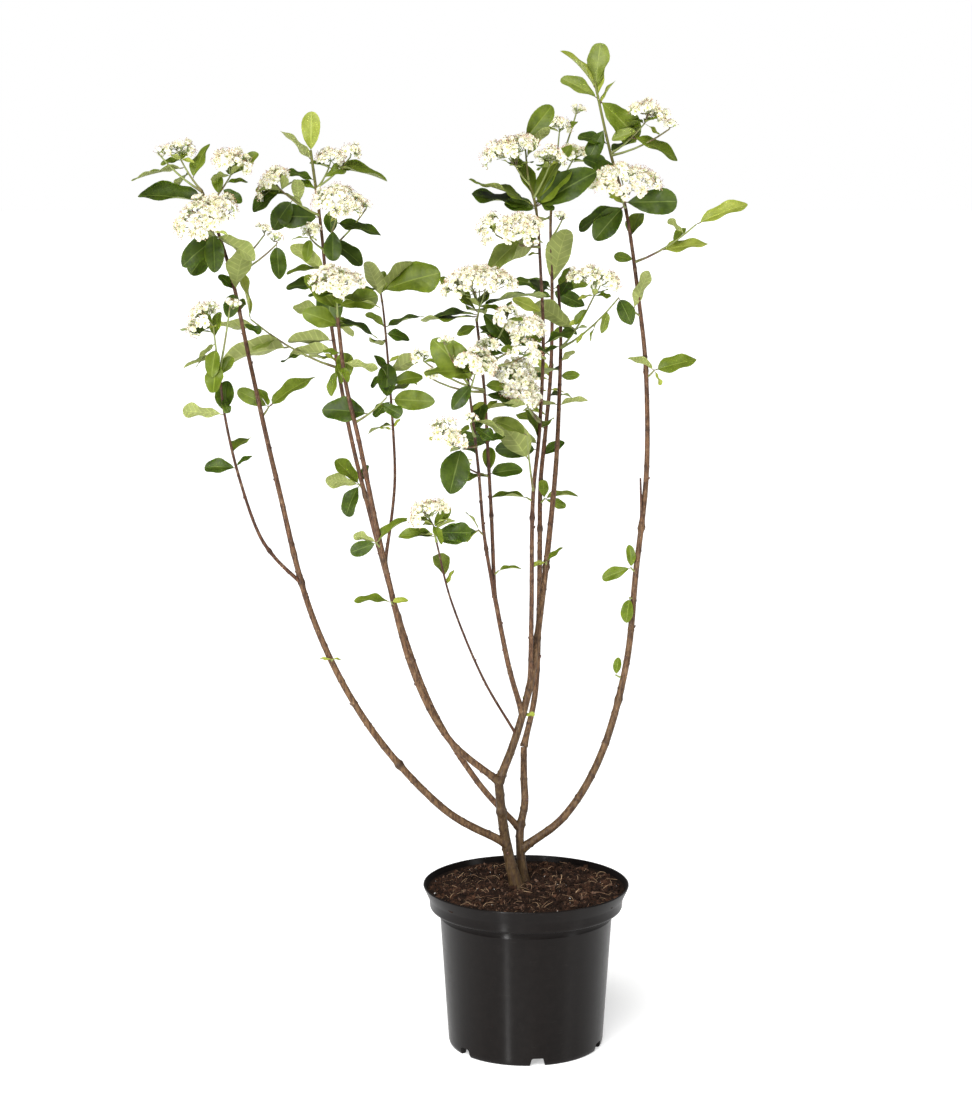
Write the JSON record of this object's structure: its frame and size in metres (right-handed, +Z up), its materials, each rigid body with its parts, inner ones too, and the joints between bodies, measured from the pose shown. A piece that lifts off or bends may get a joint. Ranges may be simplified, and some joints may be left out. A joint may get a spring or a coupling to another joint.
{
  "type": "potted flowering shrub",
  "caption": "Young multi-stemmed chokeberry shrub with arching stems, leaves and flat white flower heads, in a tapered round nursery pot.",
  "frame": {"origin": "centre of the pot's underside, on the surface it stands on", "axes": "+Z up along the pot's axis, -Y towards the front of the plant, +X to its right as seen from the front"},
  "size_m": [0.652, 0.3725, 1.0932],
  "materials": {
    "black_plastic": "satin moulded plastic",
    "compost": "damp peat compost",
    "bark": "smooth young bark with buds",
    "foliage": "leaves and blossom"
  },
  "bodies": {
    "root": {"bough_centre": "bark", "bough_dead_stub": "bark", "bough_front": "bark", "bough_front_left": "bark", "bough_front_right": "bark", "bough_inner_left_lower": "bark", "bough_inner_left_upper": "bark", "bough_left_lower": "bark", "bough_left_upper": "bark", "bough_low_front": "bark", "bough_low_left": "bark", "bough_mid_left": "bark", "bough_outer_left_lower": "bark", "bough_outer_left_upper": "bark", "bough_rear": "bark", "bough_right_centre": "bark", "bough_right_lower": "bark", "bough_right_upper": "bark", "foliage_centre": "foliage", "foliage_front_left": "foliage", "foliage_front_right": "foliage", "foliage_inner_left": "foliage", "foliage_left": "foliage", "foliage_low_front": "foliage", "foliage_low_left": "foliage", "foliage_mid_left": "foliage", "foliage_outer_left": "foliage", "foliage_rear": "foliage", "foliage_right": "foliage", "foliage_right_centre": "foliage", "pot": "black_plastic", "soil": "compost", "sprig_centre": "foliage", "sprig_front": "foliage", "sprig_front_left": "foliage", "sprig_inner_left": "foliage", "sprig_left_high": "foliage", "sprig_left_low": "foliage", "sprig_outer_left_high": "foliage", "sprig_outer_left_low": "foliage", "sprig_rear": "foliage", "sprig_right_centre": "foliage", "sprig_right_high": "foliage", "sprig_right_low": "foliage", "sprig_right_middle": "foliage", "sprig_right_pair": "foliage", "sprig_right_top": "foliage", "trunk_front": "bark", "trunk_rear": "bark"}
  },
  "joints": []
}
